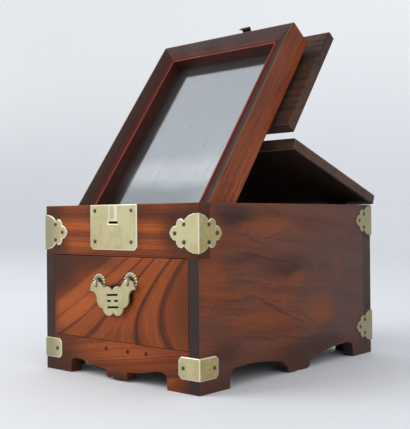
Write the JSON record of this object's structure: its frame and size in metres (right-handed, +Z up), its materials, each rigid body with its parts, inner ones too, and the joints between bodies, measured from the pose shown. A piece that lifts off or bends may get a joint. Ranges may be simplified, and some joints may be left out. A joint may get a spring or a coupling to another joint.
{
  "type": "mirror box",
  "caption": "Footed wooden vanity box with a drawer and a two-leaf folding lid that props a framed mirror in the tray.",
  "frame": {"origin": "on the floor under the centre of the case's footprint", "axes": "+X to the right of someone facing the drawer, +Y from the drawer to the back, +Z up"},
  "size_m": [0.194, 0.277, 0.3342],
  "materials": {
    "figured_wood": "oiled, worn",
    "dark_wood": "smoked, worn",
    "frame_wood": "oiled, worn",
    "plain_wood": "bare, aged",
    "peg_wood": "bare",
    "white_brass": "rubbed, tarnished",
    "nail_brass": "dark, hand forged",
    "hinge_iron": "dark, oxidised",
    "mirror_glass": "aged silvering"
  },
  "bodies": {
    "case": {"side_left": "figured_wood", "side_right": "figured_wood", "front_rail": "figured_wood", "front_apron": "figured_wood", "back_board": "dark_wood", "tray_floor": "plain_wood", "bottom_board": "plain_wood", "lock_plate": "white_brass", "corner_mount_top_front_left": "white_brass", "corner_mount_top_front_right": "white_brass", "corner_mount_bottom_front_left": "white_brass", "corner_mount_bottom_front_right": "white_brass", "corner_mount_top_back_left": "white_brass", "corner_mount_top_back_right": "white_brass", "corner_mount_bottom_back_left": "white_brass", "corner_mount_bottom_back_right": "white_brass", "case_nails": "nail_brass", "apron_pegs": "peg_wood", "hinge_nails": "hinge_iron", "rear_hinge_case_leaf_left": "hinge_iron", "rear_hinge_case_leaf_right": "hinge_iron"},
    "lid_rear": {"lid_rear_board": "dark_wood", "rear_hinge_lid_leaf_left": "hinge_iron", "rear_hinge_lid_leaf_right": "hinge_iron", "fold_hinge_rear_leaf_left": "hinge_iron", "fold_hinge_rear_leaf_right": "hinge_iron", "lid_rear_nails": "hinge_iron"},
    "lid_front": {"lid_front_board": "dark_wood", "fold_hinge_front_leaf_left": "hinge_iron", "fold_hinge_front_leaf_right": "hinge_iron", "lid_front_nails": "hinge_iron", "batten_front": "plain_wood", "batten_rear": "plain_wood", "frame_stile_left": "frame_wood", "frame_stile_right": "frame_wood", "frame_rail_top": "frame_wood", "frame_rail_bottom": "frame_wood", "mirror_glass": "mirror_glass", "mirror_backing": "plain_wood", "hasp_plate": "hinge_iron"},
    "hasp": {"hasp": "hinge_iron"},
    "drawer": {"drawer_front": "figured_wood", "drawer_side_left": "plain_wood", "drawer_side_right": "plain_wood", "drawer_back": "plain_wood", "drawer_bottom": "plain_wood", "drawer_pegs": "peg_wood", "rosette_left": "white_brass", "rosette_right": "white_brass", "eyelet_left": "white_brass", "eyelet_right": "white_brass"},
    "drawer_pull": {"pull_plate": "white_brass"}
  },
  "joints": [
    {"name": "lid_lift", "type": "hinge", "parent": "case", "child": "lid_rear", "pos_m": [0, 0.134, 0.1472], "axis": [-1, 0, 0], "range_deg": [0, 76]},
    {"name": "leaf_fold", "type": "hinge", "parent": "lid_rear", "child": "lid_front", "pos_m": [0, -0.00182, 0.21188], "axis": [1, 0, 0], "range_deg": [0, 106.6]},
    {"name": "hasp_swing", "type": "hinge", "parent": "lid_front", "child": "hasp", "pos_m": [-0.0025, 0.06469, 0.31012], "axis": [-1, 0, 0], "range_deg": [-28, 120]},
    {"name": "drawer_slide", "type": "slide", "parent": "case", "child": "drawer", "axis": [0, -1, 0], "range_m": [0, 0.2]},
    {"name": "pull_swing", "type": "hinge", "parent": "drawer", "child": "drawer_pull", "pos_m": [-0.0008, -0.1351, 0.084], "axis": [-0.9976, 0, -0.0698], "range_deg": [0, 95]}
  ],
  "couplings": [
    {"joint": "leaf_fold", "follows": "lid_lift", "ratio": 1.4026}
  ]
}
